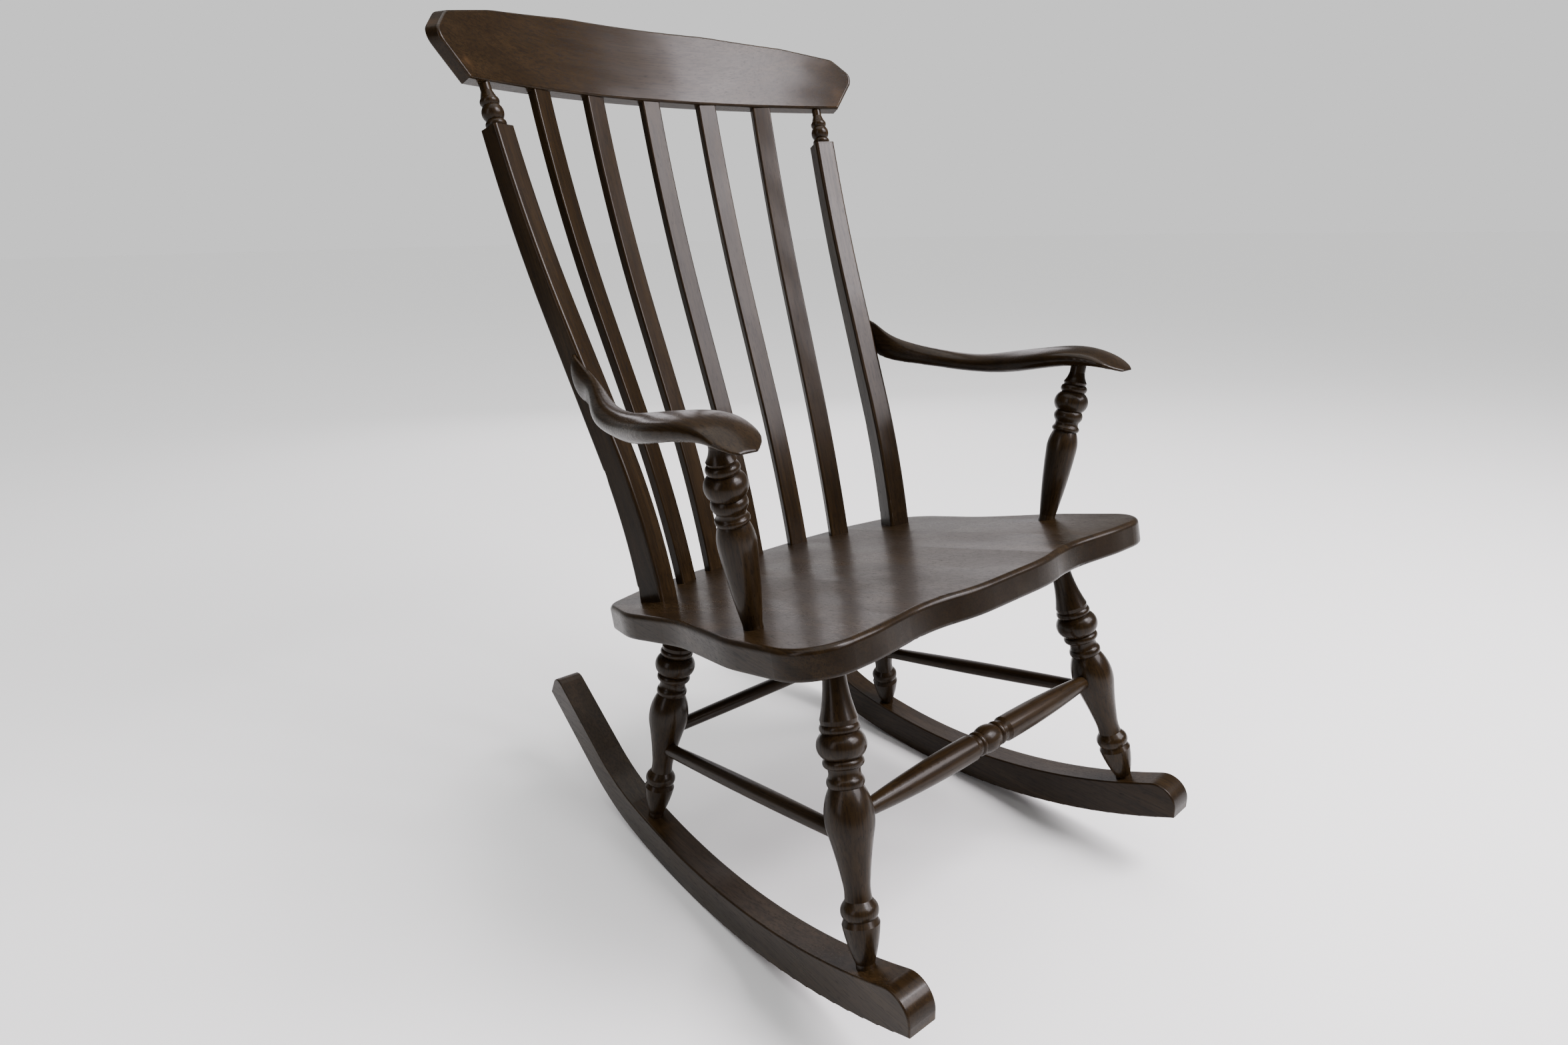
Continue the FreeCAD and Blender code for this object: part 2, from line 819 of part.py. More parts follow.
def make_seat():
    blank = new_body("seat_plank")
    outline = new_sketch(blank, "seat_outline", "XY_Plane")
    draw_rounded(outline, seat_outline())
    plank = pad(blank, outline, "seat_thickness", reverse=True)
    top = edges_of(plank, lambda edge: edge.BoundBox.ZMin > -0.01)
    upper = round_edges(blank, plank, top, "seat_top_round")
    under_level = -number("seat_thickness") + 0.01
    under = edges_of(upper, lambda edge: edge.BoundBox.ZMax < under_level)
    round_edges(blank, upper, under, "seat_under_round")
    cutters = upright_cutters("left", False) + upright_cutters("right", True)
    cutters += slat_cutters("foot", slat_foot_place)
    return mortised("seat", blank, seat_place, cutters)


keep(make_seat())


# Rockers


def polar(centre, radius, angle):
    """Point on an arc, by the angle of its slope, as a pair of expressions."""
    return f"({centre[0]})+({radius})*sin({angle})", f"({centre[1]})-({radius})*cos({angle})"


def moved(point, length, angle, quarter=False):
    """Point moved by a length along a slope, or square to it on its upper side."""
    if quarter:
        return f"({point[0]})-({length})*sin({angle})", f"({point[1]})+({length})*cos({angle})"
    return f"({point[0]})+({length})*cos({angle})", f"({point[1]})+({length})*sin({angle})"


def rocker_outline():
    """Concentric arcs, a tighter tangent arc behind them, a straight tail and a round nose."""
    centre = ("0", "rocker_radius")
    inner = "rocker_radius-rocker_depth"
    tail = "rocker_tail_angle"
    front = polar(centre, "rocker_radius", "-rocker_front_angle")
    bend = polar(centre, "rocker_radius", "rocker_tail_start")
    tail_centre = polar(centre, "rocker_radius-rocker_tail_radius", "rocker_tail_start")
    straight = polar(tail_centre, "rocker_tail_radius", tail)
    tip = moved(straight, "rocker_tail_length", tail)
    top_end = moved(tip, "rocker_depth", tail, quarter=True)
    nose = polar(centre, inner, "-rocker_nose_angle")
    nose_radius = f"(({nose[0]})-({front[0]}))/(1+sin(rocker_nose_angle))"
    corners = [
        front,
        bend,
        straight,
        tip,
        moved(tip, "rocker_depth-rocker_tail_round", tail, quarter=True),
        moved(top_end, "-rocker_tail_round", tail),
        polar(tail_centre, "rocker_tail_radius-rocker_depth", tail),
        polar(centre, inner, "rocker_tail_start"),
        nose,
        (front[0], f"({nose[1]})-({nose_radius})*cos(rocker_nose_angle)"),
    ]
    bends = [
        ("turn", "rocker_front_angle+rocker_tail_start"),
        ("turn", "rocker_tail_angle-rocker_tail_start"),
        None,
        None,
        ("turn", "90"),
        None,
        ("turn", "rocker_tail_start-rocker_tail_angle"),
        ("turn", "-rocker_tail_start-rocker_nose_angle"),
        ("turn", "90+rocker_nose_angle"),
        None,
    ]
    return corners, bends


def make_rocker():
    blank = new_body("rocker_board")
    outline = new_sketch(blank, "rocker_outline", "YZ_Plane")
    draw(outline, *rocker_outline())
    board = pad(blank, outline, "rocker_width", symmetric=True)
    half = number("rocker_width") / 2
    rims = edges_of(board, lambda edge: edge.BoundBox.XLength < half)
    round_edges(blank, board, rims, "rocker_edge_round")
    cutters = []
    for tag, place in (("front", front_leg_place), ("rear", rear_leg_place)):
        hole = shifted(place, -number("leg_foot_tenon"))
        length = "leg_foot_tenon+cutter_overrun"
        cutters.append(round_cutter(f"{tag}_leg_rocker_cutter", hole, "leg_foot_radius", length))
    return mortised("rocker_left", blank, rocker_place, cutters)


keep_pair("rocker", make_rocker())


# Legs


def leg_rows(length):
    """Foot tenon, cone, ring, vase, rings and ball, then a taper into the seat."""
    return [
        ("-leg_foot_tenon", "leg_foot_radius", None),
        ("leg_foot_height", "leg_foot_radius", "leg_cone_swell"),
        ("leg_cone_height", "leg_cone_radius", None),
        ("leg_low_ring_start", "leg_groove_radius", "leg_low_ring_swell"),
        ("leg_low_ring_end", "leg_groove_radius", None),
        ("leg_neck_start", "leg_neck_radius", "-leg_neck_hollow"),
        ("leg_neck_end", "leg_vase_start_radius", "leg_vase_rise"),
        ("leg_vase_belly_height", "leg_vase_belly_radius", "leg_vase_swell"),
        ("leg_vase_end", "leg_vase_end_radius", "leg_third_ring_swell"),
        ("leg_third_ring_end", "leg_ring_radius", "-leg_cove_depth"),
        ("leg_cove_end", "leg_ring_radius", "leg_second_ring_swell"),
        ("leg_second_ring_end", "leg_ball_radius", "leg_ball_swell"),
        ("leg_ball_end", "leg_ball_radius", "leg_first_ring_swell"),
        ("leg_first_ring_end", "leg_ball_radius", None),
        ("leg_lip_height", "leg_lip_radius", "-leg_seat_hollow"),
        (f"{length}-leg_seat_neck", "leg_seat_radius", None),
        (f"{length}+leg_seat_tenon", "leg_seat_radius", None),
    ]


def stretcher_cutter(name, place, length, far):
    """Hole for a stretcher's end in a leg; far takes the end away from the frame's origin."""
    reach = number("leg_vase_belly_radius") + number("cutter_overrun")
    start = length - reach if far else 0
    hole = shifted(place, start)
    return round_cutter(name, hole, "stretcher_radius", "leg_vase_belly_radius+cutter_overrun")


def make_front_leg():
    blank = turned("front_leg_turning", leg_rows("front_leg_length"))
    cutters = [
        stretcher_cutter("front_leg_side_cutter", side_stretcher_place, side_stretcher_length, True),
        stretcher_cutter("front_leg_front_cutter", front_stretcher_place, front_stretcher_length, True),
    ]
    return mortised("front_leg_left", blank, front_leg_place, cutters)


def make_rear_leg():
    blank = turned("rear_leg_turning", leg_rows("rear_leg_length"))
    cutters = [
        stretcher_cutter("rear_leg_side_cutter", side_stretcher_place, side_stretcher_length, False),
        stretcher_cutter("rear_leg_rear_cutter", rear_stretcher_place, rear_stretcher_length, True),
    ]
    return mortised("rear_leg_left", blank, rear_leg_place, cutters)


keep_pair("front_leg", make_front_leg())
keep_pair("rear_leg", make_rear_leg())


# Stretchers


def plain_stretcher_rows(length, swell):
    return [
        ("0", "stretcher_radius", None),
        ("stretcher_end", "stretcher_radius", swell),
        (f"{length}-stretcher_end", "stretcher_radius", None),
        (length, "stretcher_radius", None),
    ]


def ornate_stretcher_rows(length):
    """Long tapers that swell to shoulders, a bead on each side and a ball in the middle."""
    middle = f"{length}/2"
    cove = "front_stretcher_cove_radius"
    bead = "front_stretcher_bead_swell"
    return [
        ("0", "stretcher_radius", None),
        ("stretcher_end", "stretcher_radius", "front_stretcher_taper_swell"),
        (f"{middle}-front_stretcher_shoulder", "front_stretcher_shoulder_radius", None),
        (f"{middle}-front_stretcher_cove_edge", cove, None),
        (f"{middle}-front_stretcher_bead_start", cove, bead),
        (f"{middle}-front_stretcher_bead_end", cove, "front_stretcher_ball_swell"),
        (f"{middle}+front_stretcher_bead_end", cove, bead),
        (f"{middle}+front_stretcher_bead_start", cove, None),
        (f"{middle}+front_stretcher_cove_edge", cove, None),
        (f"{middle}+front_stretcher_shoulder", "front_stretcher_shoulder_radius", "front_stretcher_taper_swell"),
        (f"{length}-stretcher_end", "stretcher_radius", None),
        (length, "stretcher_radius", None),
    ]


side_stretcher = turned(
    "side_stretcher_left", plain_stretcher_rows("side_stretcher_length", "side_stretcher_swell")
)
side_stretcher.Placement = side_stretcher_place
keep_pair("side_stretcher", side_stretcher)
rear_stretcher = turned(
    "rear_stretcher", plain_stretcher_rows("rear_stretcher_length", "rear_stretcher_swell")
)
rear_stretcher.Placement = rear_stretcher_place
keep(rear_stretcher)
front_stretcher = turned("front_stretcher", ornate_stretcher_rows("front_stretcher_length"))
front_stretcher.Placement = front_stretcher_place
keep(front_stretcher)


# Arm posts


def arm_post_rows():
    return [
        ("-arm_post_tenon", "arm_post_foot_radius", None),
        ("arm_post_foot_height", "arm_post_foot_radius", "arm_post_taper_swell"),
        ("arm_post_belly_height", "arm_post_belly_radius", "arm_post_vase_swell"),
        ("arm_post_vase_end", "arm_post_vase_end_radius", "arm_post_third_ring_swell"),
        ("arm_post_third_ring_end", "arm_post_ring_radius", "-arm_post_cove_depth"),
        ("arm_post_cove_end", "arm_post_ring_radius", "arm_post_second_ring_swell"),
        ("arm_post_second_ring_end", "arm_post_ring_radius", "arm_post_ball_swell"),
        ("arm_post_ball_end", "arm_post_ball_end_radius", "arm_post_first_ring_swell"),
        ("arm_post_first_ring_end", "arm_post_groove_radius", None),
        ("arm_post_lip_height", "arm_post_lip_radius", "-arm_post_neck_hollow"),
        ("arm_post_neck_height", "arm_post_neck_radius", None),
        ("arm_post_length+arm_post_arm_tenon", "arm_post_neck_radius", None),
    ]


arm_post = turned("arm_post_left", arm_post_rows())
arm_post.Placement = arm_post_place
keep_pair("arm_post", arm_post)


# Bent uprights


def offset_point(x, y, lean, depth, side):
    """Point beside a bent centre line, as expressions; side is + to the rear and - to the front."""
    return f"{x}{side}({depth})/2*cos({lean})", f"{y}{'-' if side == '+' else '+'}({depth})/2*sin({lean})"


def upright_outline(kind, bow, depths, foot_tenon, head_tenon):
    """Side view of a bent upright: tenon, arc, straight run, arc, tenon; up the rear, down the front."""
    foot_lean = f"{kind}_foot_lean"
    run_lean = f"{kind}_run_lean"
    top_lean = f"{kind}_top_lean"
    length = f"{kind}_length"
    stations = [
        (f"-{foot_tenon}*sin({foot_lean})", f"-{foot_tenon}*cos({foot_lean})", foot_lean, depths[0]),
        ("0", "0", foot_lean, depths[0]),
        (f"{bow}_low_bow", f"{bow}_low_knot", run_lean, depths[1]),
        (f"{bow}_high_bow", f"{bow}_high_knot", run_lean, depths[2]),
        ("0", length, top_lean, depths[3]),
        (f"{head_tenon}*sin({top_lean})", f"{length}+{head_tenon}*cos({top_lean})", top_lean, depths[3]),
    ]
    lower = f"{foot_lean}-({run_lean})"
    upper = f"{run_lean}-({top_lean})"
    rear = [offset_point(*station, "+") for station in stations]
    front = [offset_point(*station, "-") for station in reversed(stations)]
    rear_bends = [None, ("turn", lower), None, ("turn", upper), None, None]
    front_bends = [None, ("turn", f"-({upper})"), None, ("turn", f"-({lower})"), None, None]
    return rear + front, rear_bends + front_bends


def make_slat(name, kind):
    frame, length, leans = slat_frames[kind]
    slat = new_body(name)
    outline = new_sketch(slat, name + "_outline", "YZ_Plane")
    depths = ["slat_depth"] * 4
    draw(outline, *upright_outline(kind + "_slat", "slat", depths, "slat_tenon", "slat_tenon"))
    lath = pad(slat, outline, "slat_width", symmetric=True)
    half = number("slat_width") / 2
    ends = number("slat_depth") * CLEARLY_LONGER

    def runs_lengthwise(edge):
        level = abs(edge.BoundBox.XMin - edge.BoundBox.XMax) < half
        return level and edge.Length > ends

    round_edges(slat, lath, edges_of(lath, runs_lengthwise), "slat_edge_round")
    slat.Placement = frame
    return slat


keep(make_slat("slat_3", "middle"))
for kind, left_name, right_name in (("inner", "slat_4", "slat_2"), ("outer", "slat_5", "slat_1")):
    slat = make_slat(left_name, kind)
    keep(slat, mirrored(right_name, slat))


# Back posts


def post_top_rows():
    """Ring, ball, ring and neck that end in the crest rail's tenon."""
    return [
        ("-post_lower_ring_start", "post_lower_ring_radius", None),
        ("post_lower_ring_start", "post_lower_ring_radius", "post_lower_ring_swell"),
        ("post_lower_ring_end", "post_lower_ring_radius", "post_ball_swell"),
        ("post_ball_end", "post_lower_ring_radius", "post_upper_ring_swell"),
        ("post_upper_ring_end", "post_lower_ring_radius", None),
        ("post_neck_start", "post_neck_radius", None),
        ("post_top_height+post_crest_tenon", "post_neck_radius", None),
    ]


def make_post():
    squared = new_body("back_post_stem")
    outline = new_sketch(squared, "back_post_outline", "YZ_Plane")
    depths = ["post_foot_depth", "post_low_depth", "post_high_depth", "post_shoulder_depth"]
    draw(outline, *upright_outline("post", "post", depths, "post_tenon_length", "post_lower_ring_start"))
    stem = pad(squared, outline, "post_width", symmetric=True)
    half = number("post_width") / 2
    ends = number("post_foot_depth") * CLEARLY_LONGER

    def runs_lengthwise(edge):
        level = abs(edge.BoundBox.XMin - edge.BoundBox.XMax) < half
        return level and edge.Length > ends

    round_edges(squared, stem, edges_of(stem, runs_lengthwise), "post_edge_round")
    below = doc.addObject("Part::Box", "post_shoulder_cutter")
    span = 4 * number("post_foot_depth")
    below.Length = span
    below.Width = span
    below.Height = span
    back = post_place.inverse()
    corner = on_seat("post_foot_x", "post_foot_back") + seat_place.Rotation.multVec(
        Vector(-span / 2, -span / 2, -span)
    )
    below.Placement = back.multiply(Placement(corner, seat_place.Rotation))
    shouldered = doc.addObject("Part::Cut", "back_post_shouldered")
    shouldered.Base = squared
    shouldered.Tool = below
    tenon = doc.addObject("Part::Cylinder", "back_post_tenon")
    bind(tenon, "Radius", "post_tenon_radius")
    bind(tenon, "Height", "post_tenon_length+post_tenon_radius")
    tenon.Placement = back.multiply(shifted(post_foot_place, -number("post_tenon_length")))
    head = turned("back_post_head", post_top_rows())
    head.Placement = back.multiply(post_top_place)
    post = doc.addObject("Part::MultiFuse", "back_post_left")
    post.Shapes = [shouldered, tenon, head]
    post.Refine = True
    post.Placement = post_place
    return post


back_post = make_post()
keep_pair("back_post", back_post)


# Crest rail


def crest_ray(x, plane):
    """X, on an upright plane ahead of the bend's axis, of the ray that meets the bend at x."""
    return f"({plane})*tan(asin(({x})/crest_radius))"


def crest_corners(plane):
    half = [
        ("crest_foot_x", "-crest_foot_drop", "crest_foot_round"),
        ("crest_ear_x", "crest_ear_height", "crest_ear_round"),
        ("crest_brow_x", "crest_brow_height", "crest_brow_round"),
        ("crest_shoulder_x", "crest_shoulder_height", "crest_shoulder_round"),
        ("crest_top_x", "crest_top_height", "crest_top_round"),
    ]
    left = [(crest_ray(x, plane), y, radius) for x, y, radius in half]
    right = [("-" + x, y, radius) for x, y, radius in reversed(left)]
    return left + right


def make_crest():
    band = new_body("crest_band")
    section = new_sketch(band, "crest_section", "YZ_Plane")
    foot = ("crest_middle_radius", "0")
    half = "crest_thickness/2"
    front = (f"{foot[0]}-{half}*cos(crest_lean)", f"{half}*sin(crest_lean)")
    rear = (f"{foot[0]}+{half}*cos(crest_lean)", f"-{half}*sin(crest_lean)")
    up = ("crest_height*sin(crest_lean)", "crest_height*cos(crest_lean)")
    corners = [
        front,
        rear,
        (f"{rear[0]}+{up[0]}", f"{rear[1]}+{up[1]}"),
        (f"{front[0]}+{up[0]}", f"{front[1]}+{up[1]}"),
    ]
    draw(section, corners, [None] * 4)
    bend = band.newObject("PartDesign::Revolution", "crest_bend")
    bend.Profile = section
    bend.ReferenceAxis = (section, ["V_Axis"])
    bend.Midplane = True
    bind(bend, "Angle", "crest_sweep")
    face = new_body("crest_face")
    planes = []
    for tag, plane in (("near", "crest_radius*crest_near_share"), ("far", "crest_radius*crest_far_share")):
        sketch = new_sketch(face, f"crest_outline_{tag}", "XZ_Plane")
        bind(sketch, "AttachmentOffset.Base.z", f"-({plane})")
        draw_rounded(sketch, crest_corners(plane))
        planes.append(sketch)
    cone = face.newObject("PartDesign::AdditiveLoft", "crest_rays")
    cone.Profile = planes[0]
    cone.Sections = [planes[1]]
    cone.Ruled = True
    shaped = doc.addObject("Part::Common", "crest_shaped")
    shaped.Base = band
    shaped.Tool = face
    limit = number("crest_thickness") * CLEARLY_LONGER
    blank = rounded("crest_rounded", shaped, lambda edge: edge.Length > limit, "crest_edge_round")
    cutters = slat_cutters("head", slat_head_place)
    for side, mirror_x in (("left", False), ("right", True)):
        place = shifted(post_top_place, number("post_top_height") - number("cutter_overrun"))
        if mirror_x:
            place = mirror_frame(place)
        length = "cutter_overrun+post_crest_tenon"
        cutters.append(round_cutter(f"post_crest_cutter_{side}", place, "post_neck_radius", length))
    return mortised("crest_rail", blank, crest_place, cutters)


keep(make_crest())


# Arms


def arm_section(station):
    """Flat underside, round edges and a crowned top, as corners and arcs."""
    inner = f"arm_{station}_inner"
    outer = f"arm_{station}_outer"
    under = f"(seat_height+arm_{station}_under)"
    top = f"(seat_height+arm_{station}_top)"
    width = f"({outer}-{inner})"
    height = f"({top}-{under})"
    smaller = f"{width}*{height}/({width}+{height})"
    edge = f"arm_edge_share*{smaller}"
    crown = f"arm_crown_share*{smaller}"
    corners = [
        (f"{inner}+{edge}", under),
        (f"{outer}-{edge}", under),
        (f"{outer}-{edge}", f"{top}-{crown}"),
        (f"{inner}+{edge}", f"{top}-{crown}"),
    ]
    return corners, [None, ("rise", edge), ("rise", crown), ("rise", edge)]


def make_arm():
    rest = new_body("arm_shape")
    sections = []
    for station in ARM_STATIONS:
        sketch = new_sketch(rest, f"arm_{station}", "XZ_Plane")
        bind(sketch, "AttachmentOffset.Base.z", f"-arm_{station}_y")
        draw(sketch, *arm_section(station))
        sections.append(sketch)
    loft = rest.newObject("PartDesign::AdditiveLoft", "arm_loft")
    loft.Profile = sections[0]
    loft.Sections = sections[1:]
    hole = shifted(arm_post_place, number("arm_post_length") - number("cutter_overrun"))
    length = "cutter_overrun+arm_post_arm_tenon"
    cutter = round_cutter("arm_post_arm_cutter", hole, "arm_post_neck_radius", length)
    doc.recompute()
    fitted = doc.addObject("Part::Cut", "arm_fitted")
    fitted.Base = rest
    fitted.Tool = back_post
    arm = doc.addObject("Part::Cut", "arm_left")
    arm.Base = fitted
    arm.Tool = cutter
    return arm


keep_pair("arm", make_arm())

# Check, then write each piece

doc.recompute()
for item in doc.Objects:
    for state in item.State:
        if state in ("Invalid", "Error"):
            raise RuntimeError(f"{item.Name} is {state}")
for piece in pieces:
    shape = piece.Shape
    if shape.isNull() or not shape.isValid():
        raise RuntimeError(f"{piece.Label} has no valid shape")
    if len(shape.Solids) != 1:
        raise RuntimeError(f"{piece.Label} is not one solid")
    print(piece.Label, "volume", round(shape.Volume))
for piece in pieces:
    piece.Shape.exportStep(f"parts/{piece.Label}.step")
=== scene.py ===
"""Finishes the slat-back rocking chair in dark stained wood, carves its arms and lights it."""

import math
import bmesh
import bpy
from bpy.props import FloatProperty, FloatVectorProperty, IntProperty, PointerProperty
from mathutils import Matrix, Vector


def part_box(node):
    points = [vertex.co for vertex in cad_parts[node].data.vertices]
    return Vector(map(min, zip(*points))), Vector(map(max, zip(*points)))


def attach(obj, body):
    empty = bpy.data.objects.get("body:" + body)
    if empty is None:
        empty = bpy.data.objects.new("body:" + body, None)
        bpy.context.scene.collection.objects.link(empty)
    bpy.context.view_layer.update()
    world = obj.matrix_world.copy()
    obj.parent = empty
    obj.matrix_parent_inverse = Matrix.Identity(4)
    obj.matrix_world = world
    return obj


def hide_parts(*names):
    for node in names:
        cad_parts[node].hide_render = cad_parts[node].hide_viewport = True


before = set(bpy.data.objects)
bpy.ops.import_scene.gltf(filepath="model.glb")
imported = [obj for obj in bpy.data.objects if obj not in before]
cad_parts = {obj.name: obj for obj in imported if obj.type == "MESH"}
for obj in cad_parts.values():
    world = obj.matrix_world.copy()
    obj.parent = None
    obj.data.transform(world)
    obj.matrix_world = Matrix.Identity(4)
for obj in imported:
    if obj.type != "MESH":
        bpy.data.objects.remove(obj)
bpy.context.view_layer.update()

bl_info = {
    "name": "Slat-back rocking chair",
    "version": (1, 0, 0),
    "blender": (4, 5, 0),
    "location": "View3D > Sidebar > Rocking chair",
    "description": "Stained wood, carved arms, floor, light and camera for the rocking chair",
    "category": "Object",
}

SLATS = ("slat_1", "slat_2", "slat_3", "slat_4", "slat_5")
ROCKERS = ("rocker_left", "rocker_right")
LEGS = ("front_leg_left", "front_leg_right", "rear_leg_left", "rear_leg_right")
STRETCHERS = ("side_stretcher_left", "side_stretcher_right", "rear_stretcher", "front_stretcher")
ARM_POSTS = ("arm_post_left", "arm_post_right")
BACK_POSTS = ("back_post_left", "back_post_right")
ARMS = ("arm_left", "arm_right")

SIDEWAYS = Vector((1.0, 0.0, 0.0))
FRONT_TO_BACK = Vector((0.0, 1.0, 0.0))
UPWARDS = Vector((0.0, 0.0, 1.0))

# How many spots each pattern has in a metre: along the grain, or along it and across it both ways
BANDS_PER_METRE = 2.2
FIBRES_PER_METRE = 9.0
PORES_PER_METRE = 80.0
CLOUDS_PER_METRE = (4.5, 7.0, 7.0)
RIPPLES_PER_METRE = (9.0, 16.0, 16.0)
WEAR_PER_METRE = (30.0, 60.0, 60.0)
MOTTLES_PER_METRE = (3.0, 3.0, 3.0)

# Ranges: the values of a pattern at which a change starts and ends, and the strength at each
THIN_BANDS = (0.42, 0.66, 0.0, 0.6)
BODY_CLOUDS = (0.35, 0.68, 0.0, 0.45)
DEEP_FIBRES = (0.42, 0.66, 0.0, 0.55)
DEEP_PORES = (0.60, 0.70, 0.0, 0.75)
THIN_STAVES = (0.3, 1.0, 0.0, 0.16)
DEEP_END_GRAIN = (0.72, 0.96, 0.0, 0.5)
DEEP_GROOVES = (0.495, 0.43, 0.0, 0.8)
RUBBED_EDGES = (0.53, 0.62, 0.0, 0.45)
RUBBED_PATCHES = (0.35, 0.65, 0.0, 1.0)
ROUGH_CLOUDS = (0.3, 0.7, -0.05, 0.06)
ROUGH_PORES = (0.60, 0.70, 0.0, 0.14)
ROUGH_FIBRES = (0.35, 0.7, -0.02, 0.04)
RAISED_FIBRES = (0.3, 0.7, 0.0, 0.5)
SUNK_PORES = (0.58, 0.70, 0.0, 1.0)
FLOOR_MOTTLES = (0.3, 0.7, 0.0, 0.05)
LIGHT_SIDE_OF_SKY = (-0.9, 0.35, 0.0, 1.0)

# Each piece is cut from its own place in the board, this many metres on from the one before
BOARD_STEP = (1.73, 0.61, 0.37)
# The grain of the seat's staves is shifted by up to this many metres
STAVE_SHIFT = 7.0
PIECE_TONES = (0.93, 1.06, 1.0, 0.96, 1.1)
# Share of a long piece's length at each end whose middle is taken to find its direction
END_SHARE = 0.04

MERGE_DISTANCE = 0.00001
# Power of the curve that the sides of an arm's nose follow
NOSE_CURVE = 2.4

CHAIR_MIDDLE = (0.0, 0.0, 0.6)
SEAT_MIDDLE = (0.0, 0.0, 0.45)
CREST_MIDDLE = (0.1, 0.35, 1.0)
# Name, place, what it is turned to, width, height and the value of ChairStage with its power
SOFT_LIGHTS = (
    ("window_light", (1.5, -2.2, 2.5), CHAIR_MIDDLE, 2.2, 1.5, "window_power"),
    ("skylight", (0.85, -1.5, 2.85), CREST_MIDDLE, 1.0, 0.9, "skylight_power"),
    ("wall_light", (1.5, 2.3, 1.25), SEAT_MIDDLE, 2.6, 1.3, "wall_power"),
    ("side_light", (-2.3, -0.2, 1.5), CHAIR_MIDDLE, 0.7, 1.8, "side_power"),
)
LIGHT_COLOUR = (1.0, 0.945, 0.985)
WHITE = (1.0, 1.0, 1.0)
DARK_SKY = (0.18, 0.18, 0.185)
# Share of the floor's colour that its mottles have
MOTTLE_TONE = 0.9

# The camera of the photograph, with its place in metres, its angles in degrees and its shift in
# pixels of the whole frame
IMAGE_WIDTH = 2352.0
SHIFT_RIGHT = -10.28
SHIFT_UP = -8.18
SENSOR_WIDTH = 36.0
CAMERA_PLACE = Vector((-0.7368, -0.8028, 0.8009))
CAMERA_ROUND = -40.207
CAMERA_ABOVE = 18.264
CAMERA_TILT = -1.017
FLOOR_RADII_SEEN = 4.0

# Places of a Mix node's sockets for colours, since it has others of the same names
MIX_SHARE = 0
MIX_UNDER = 6
MIX_OVER = 7
MIX_COLOUR = 2


class ChairWood(bpy.types.PropertyGroup):
    """Colours and sizes of the stained wood"""

    deep_stain: FloatVectorProperty(
        name="Deep stain",
        description="Colour in pores, grooves and end grain, where the stain gathers",
        subtype="COLOR",
        size=3,
        min=0.0,
        max=1.0,
        default=(0.0036, 0.0017, 0.0005),
    )
    body_stain: FloatVectorProperty(
        name="Body stain",
        description="Colour of most of the wood",
        subtype="COLOR",
        size=3,
        min=0.0,
        max=1.0,
        default=(0.0138, 0.0078, 0.0030),
    )
    thin_stain: FloatVectorProperty(
        name="Thin stain",
        description="Colour of the hard bands that take less stain",
        subtype="COLOR",
        size=3,
        min=0.0,
        max=1.0,
        default=(0.0272, 0.0160, 0.0066),
    )
    rubbed_edge: FloatVectorProperty(
        name="Rubbed edge",
        description="Colour of edges and beads where the stain is rubbed thin",
        subtype="COLOR",
        size=3,
        min=0.0,
        max=1.0,
        default=(0.062, 0.033, 0.0135),
    )
    band_width: FloatProperty(
        name="Band width",
        description="Width of the growth bands across the grain",
        unit="LENGTH",
        min=0.004,
        max=0.08,
        default=0.022,
    )
    fibre_width: FloatProperty(
        name="Fibre width",
        description="Width of the fine fibres across the grain",
        unit="LENGTH",
        min=0.0006,
        max=0.01,
        default=0.0026,
    )
    pore_width: FloatProperty(
        name="Pore width",
        description="Width of the short dark pores",
        unit="LENGTH",
        min=0.0003,
        max=0.004,
        default=0.0011,
    )
    stave_width: FloatProperty(
        name="Stave width",
        description="Width of the boards that are glued side by side into the seat",
        unit="LENGTH",
        min=0.03,
        max=0.3,
        default=0.082,
    )
    lacquer: FloatProperty(
        name="Lacquer",
        description="Strength of the clear lacquer over the stain",
        subtype="FACTOR",
        min=0.0,
        max=1.0,
        default=0.15,
    )
    lacquer_roughness: FloatProperty(
        name="Lacquer roughness",
        description="Roughness of the lacquer, from mirror to matt",
        subtype="FACTOR",
        min=0.0,
        max=1.0,
        default=0.17,
    )


class ChairArms(bpy.types.PropertyGroup):
    """Sizes of the carving of the arms"""

    nose_length: FloatProperty(
        name="Nose length",
        description="Length at the front of an arm in which its sides draw in",
        unit="LENGTH",
        min=0.005,
        max=0.1,
        default=0.030,
    )
    nose_middle: FloatProperty(
        name="Nose middle",
        description="Distance of the middle of an arm's nose from the middle of the chair",
        unit="LENGTH",
        min=0.2,
        max=0.4,
        default=0.2955,
    )
    nose_narrowing: FloatProperty(
        name="Nose narrowing",
        description="How much the sides draw in at the tip of the nose, where 1 is a point",
        subtype="FACTOR",
        min=0.0,
        max=0.95,
        default=0.8,
    )
    softened_to: FloatProperty(
        name="Softened to",
        description="How far behind the line that the rockers stand on the edges are softened",
        unit="LENGTH",
        min=-0.3,
        max=0.3,
        default=0.09,
    )
    softening_rounds: IntProperty(
        name="Softening rounds",
        description="How many times the edges are softened",
        min=0,
        max=20,
        default=4,
    )
    face_size: FloatProperty(
        name="Face size",
        description="Size of the small even faces that an arm is carved in",
        unit="LENGTH",
        min=0.001,
        max=0.01,
        default=0.0019,
    )


